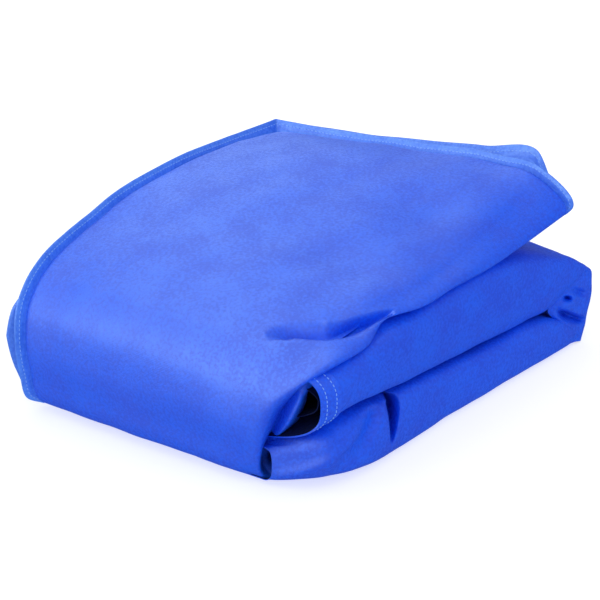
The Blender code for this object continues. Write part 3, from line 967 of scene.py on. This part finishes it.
def build_exit_hem(materials):
    """The middle leaf's open end: a doubled hem with two rows of topstitching."""
    places = np.linspace(0, 1, 260)
    end = leaf_ring(MIDDLE_LEAF, MIDDLE_LEAF[0][0] - EXIT_HEM_OVERHANG, places)
    inner = leaf_ring(MIDDLE_LEAF, EXIT_HEM_END, places)
    net = make_net(np.array([end + (inner - end) * share for share in np.linspace(0, 1, EXIT_HEM_ROWS)]))
    net["points"] = net["points"] + net["normals"] * EXIT_HEM_PROUD
    # the hem's inside takes the near-black painted shade
    hem = cloth("exit_hem", net, EXIT_HEM_PROUD + CLOTH, materials["fabric"],
                materials["painted_shade_inside"])
    normals = net["normals"].reshape(*net["shape"], 3)[EXIT_HEM_ROWS // 2]
    rows = []
    for k, share in enumerate(EXIT_STITCH_SHARES):
        rows.append(stitch_row("exit_hem_stitches_%d" % k, inner, end, normals, share,
                               materials["thread"], lift=EXIT_HEM_PROUD))
    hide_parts("exit_hem_lower", "exit_hem_upper")
    for piece in (hem, *rows):
        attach(piece, "middle_leaf")
    return [hem, *rows]


def build_inner_folds(name, section, start, body, materials):
    """A ply folded inside a leaf, seen end on."""
    section = np.array(section, float)
    ribs = []
    for x, shift in zip(np.linspace(start, start + INNER_FOLD_LENGTH, 3), INNER_FOLD_SHIFTS):
        ribs.append(np.column_stack([np.full(len(section), x), section[:, 0] + shift, section[:, 1]]))
    net = make_net(loft(ribs, np.linspace(0, 2, 40), np.linspace(0, len(section) - 1, 90)))
    # the whole folded ply takes the near-black painted shade
    folds = cloth(name + "_cloth", net, CLOTH, materials["painted_shade_inside"])
    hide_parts(name)
    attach(folds, body)


def build_end_fold(materials):
    """The crumpled cloth that joins the ends of the bottom and middle leaves."""
    net = make_net(loft(END_FOLD_RIBS, END_FOLD_STATIONS, END_FOLD_COLUMNS))
    for path in (END_GROOVE, END_SLOT, END_FLUTE):
        press(net, path, way=END_WAY)
    ripple(net, END_FOLD_RIPPLES)
    fold = ply("end_fold", net, materials)
    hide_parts("end_fold_lower", "end_fold_upper")
    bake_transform(fold)


def main():
    materials = {
        "fabric": cloth_material("woven_polyester", CLOTH_BLUE, CLOTH_BLUE_DARK),
        # hems and seams: lighter blue, painted light
        "hem": cloth_material("hem_polyester", HEM_PAINTED_LIGHT_BLUE, HEM_PAINTED_LIGHT_BLUE_DARK, 0.5, 0.5),
        # near-black painted shade for the insides
        "painted_shade_inside": cloth_material("inner_polyester", INSIDE_PAINTED_SHADE_BLUE, INSIDE_PAINTED_SHADE_BLUE_DARK, 0.7, 0.06),
        # plies' inner face: darker, painted shade
        "inner": cloth_material("inner_face_painted_shade", INNER_FACE_PAINTED_SHADE_BLUE, INNER_FACE_PAINTED_SHADE_BLUE_DARK, 0.55, 0.3),
        "thread": thread_material(),
    }
    build_outer_ply(materials)
    build_second_ply(materials)
    bottom, bottom_trim = build_leaf("bottom_leaf", BOTTOM_LEAF, "root", BOTTOM_LEAF_CREASES,
                                     "bottom_leaf_side_seam", materials)
    middle, middle_trim = build_leaf("middle_leaf", MIDDLE_LEAF, "middle_leaf", (),
                                     "middle_leaf_side_seam", materials)
    middle_trim += build_exit_hem(materials)
    build_inner_folds("middle_leaf_inner_folds", MIDDLE_INNER_FOLD, MIDDLE_INNER_START,
                      "middle_leaf", materials)
    build_inner_folds("bottom_leaf_inner_folds", BOTTOM_INNER_FOLD, BOTTOM_INNER_START,
                      "root", materials)
    build_end_fold(materials)
    build_studio()


def frame_joint(name):
    return next(joint for joint in frame["joints"] if joint["name"] == name)


# Studio


def area_light(name, place, size, energy, diffuse):
    """A round lamp that points at the object."""
    light = bpy.data.lights.new(name, "AREA")
    light.shape = "DISK"
    light.size = size
    light.energy = energy
    light.color = LAMP_COLOUR
    lamp = bpy.data.objects.new(name, light)
    lamp.location = place
    lamp.visible_diffuse = diffuse
    lamp.rotation_euler = (-Vector(place)).to_track_quat("-Z", "Y").to_euler()
    bpy.context.scene.collection.objects.link(lamp)


def build_floor():
    """A white floor that the cloth neither mirrors nor takes light from."""
    mesh = bpy.data.meshes.new("floor")
    corners = [(-FLOOR_SIZE, -FLOOR_SIZE), (FLOOR_SIZE, -FLOOR_SIZE), (FLOOR_SIZE, FLOOR_SIZE),
               (-FLOOR_SIZE, FLOOR_SIZE)]
    mesh.from_pydata([(x, y, -FLOOR_DROP) for x, y in corners], [], [(0, 1, 2, 3)])
    white = bpy.data.materials.new("floor_white")
    white.use_nodes = True
    shader = white.node_tree.nodes["Principled BSDF"]
    shader.inputs["Base Color"].default_value = FLOOR_GREY
    shader.inputs["Roughness"].default_value = 0.9
    shader.inputs["Emission Color"].default_value = (1, 1, 1, 1)
    shader.inputs["Emission Strength"].default_value = FLOOR_GLOW
    mesh.materials.append(white)
    floor = bpy.data.objects.new("floor", mesh)
    floor.visible_glossy = False
    floor.visible_diffuse = False
    bpy.context.scene.collection.objects.link(floor)


def build_sky():
    """Even white light from all round, which the cloth doesn't mirror."""
    world = bpy.data.worlds.new("studio")
    bpy.context.scene.world = world
    world.use_nodes = True
    back = world.node_tree.nodes["Background"]
    back.inputs["Color"].default_value = (1, 1, 1, 1)
    back.inputs["Strength"].default_value = SKY
    world.cycles_visibility.glossy = False
    world.cycles.sampling_method = "NONE"


def build_camera():
    azimuth, elevation = math.radians(CAMERA_AZIMUTH), math.radians(CAMERA_ELEVATION)
    away = Vector((math.sin(azimuth) * math.cos(elevation), -math.cos(azimuth) * math.cos(elevation),
                   math.sin(elevation)))
    lens = bpy.data.cameras.new("camera")
    lens.lens = CAMERA_LENS
    lens.sensor_width = CAMERA_SENSOR
    camera = bpy.data.objects.new("camera", lens)
    camera.location = Vector(CAMERA_TARGET) + away * CAMERA_DISTANCE
    camera.rotation_euler = (-away).to_track_quat("-Z", "Y").to_euler()
    bpy.context.scene.collection.objects.link(camera)
    bpy.context.scene.camera = camera


def build_studio():
    bpy.context.scene.view_settings.view_transform = "Standard"
    build_floor()
    build_sky()
    for name, place, size, energy, diffuse in LAMPS:
        area_light(name, place, size, energy, diffuse)
    build_camera()


main()
